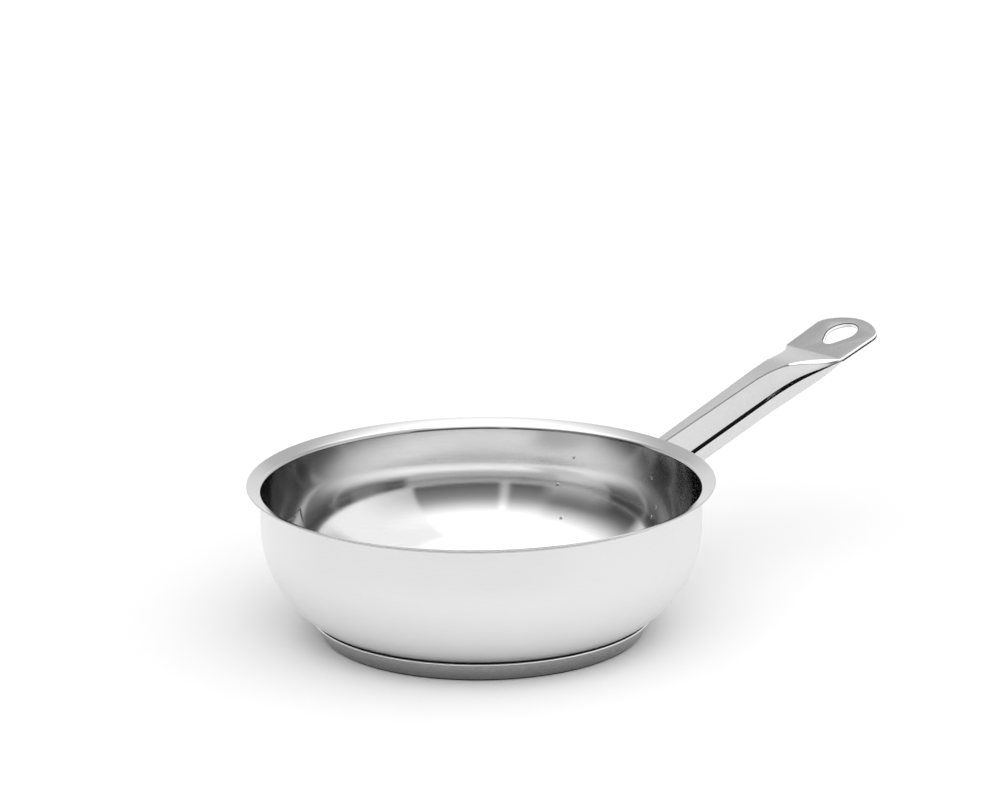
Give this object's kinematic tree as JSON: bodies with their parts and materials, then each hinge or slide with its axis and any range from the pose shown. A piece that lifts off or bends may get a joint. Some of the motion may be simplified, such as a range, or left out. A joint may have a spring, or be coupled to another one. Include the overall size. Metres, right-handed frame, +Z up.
{
  "type": "saucier pan",
  "caption": "Round-sided steel saucier pan with a flared pouring lip, a thick sandwich base and one long hollow handle that ends in a flat tail with a teardrop hanging hole.",
  "frame": {"origin": "centre of the flat standing face under the base", "axes": "+Z up along the bowl's axis, +X from the bowl's axis along the handle"},
  "size_m": [0.3708, 0.2256, 0.1109],
  "materials": {
    "bowl_steel": "satin brushed round the pan, polished lip",
    "core_aluminium": "pressed, dull",
    "cap_steel": "turned",
    "bracket_steel": "plain pressed",
    "weld_steel": "as welded",
    "handle_steel": "fine satin along the handle"
  },
  "bodies": {
    "root": {"bowl": "bowl_steel", "core_disc": "core_aluminium", "base_cap": "cap_steel", "handle_saddle": "bracket_steel", "spot_welds": "weld_steel", "handle_tongue": "bracket_steel", "handle_upper_shell": "handle_steel", "handle_lower_shell": "handle_steel"}
  },
  "joints": []
}
